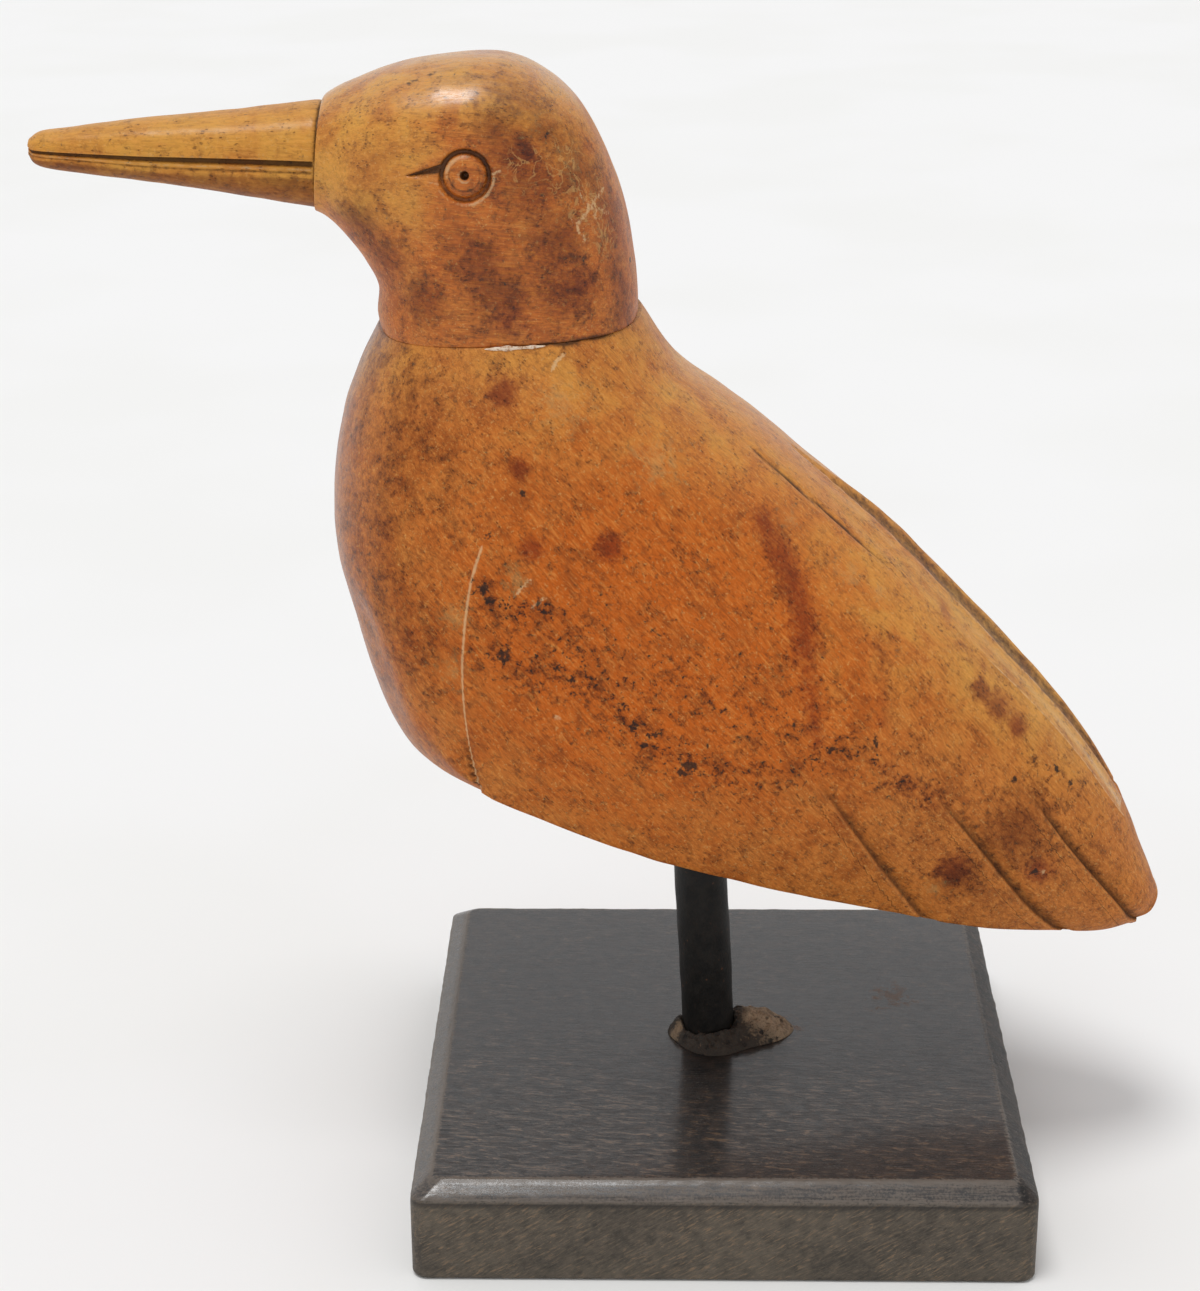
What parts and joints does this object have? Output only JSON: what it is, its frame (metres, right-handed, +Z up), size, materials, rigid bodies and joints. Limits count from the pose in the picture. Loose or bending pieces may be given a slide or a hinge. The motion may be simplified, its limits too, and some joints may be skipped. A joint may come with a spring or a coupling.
{
  "type": "wooden bird figurine on stand",
  "caption": "Carved wooden bird with a long straight beak, folded wings and a slanting tail, held by an iron rod on a square chamfered wooden base.",
  "frame": {"origin": "centre of the base block's underside", "axes": "+Z up, -X towards the beak, +X towards the tail, the bird's centre plane is Y = 0"},
  "size_m": [0.1818, 0.1, 0.1868],
  "materials": {
    "carved_wood": "waxed orange-brown wood, satin, with dark pores, stains and pale rubbed places",
    "black_iron": "blackened iron, satin, a little rust",
    "dark_base_wood": "near black stained wood, satin, worn grey-brown along the chamfer",
    "filler": "rough tan filler, dirty"
  },
  "bodies": {
    "root": {"bird_body": "carved_wood", "bird_head": "carved_wood", "support_rod": "black_iron", "base_block": "dark_base_wood", "rod_foot_filler": "filler"}
  },
  "joints": []
}
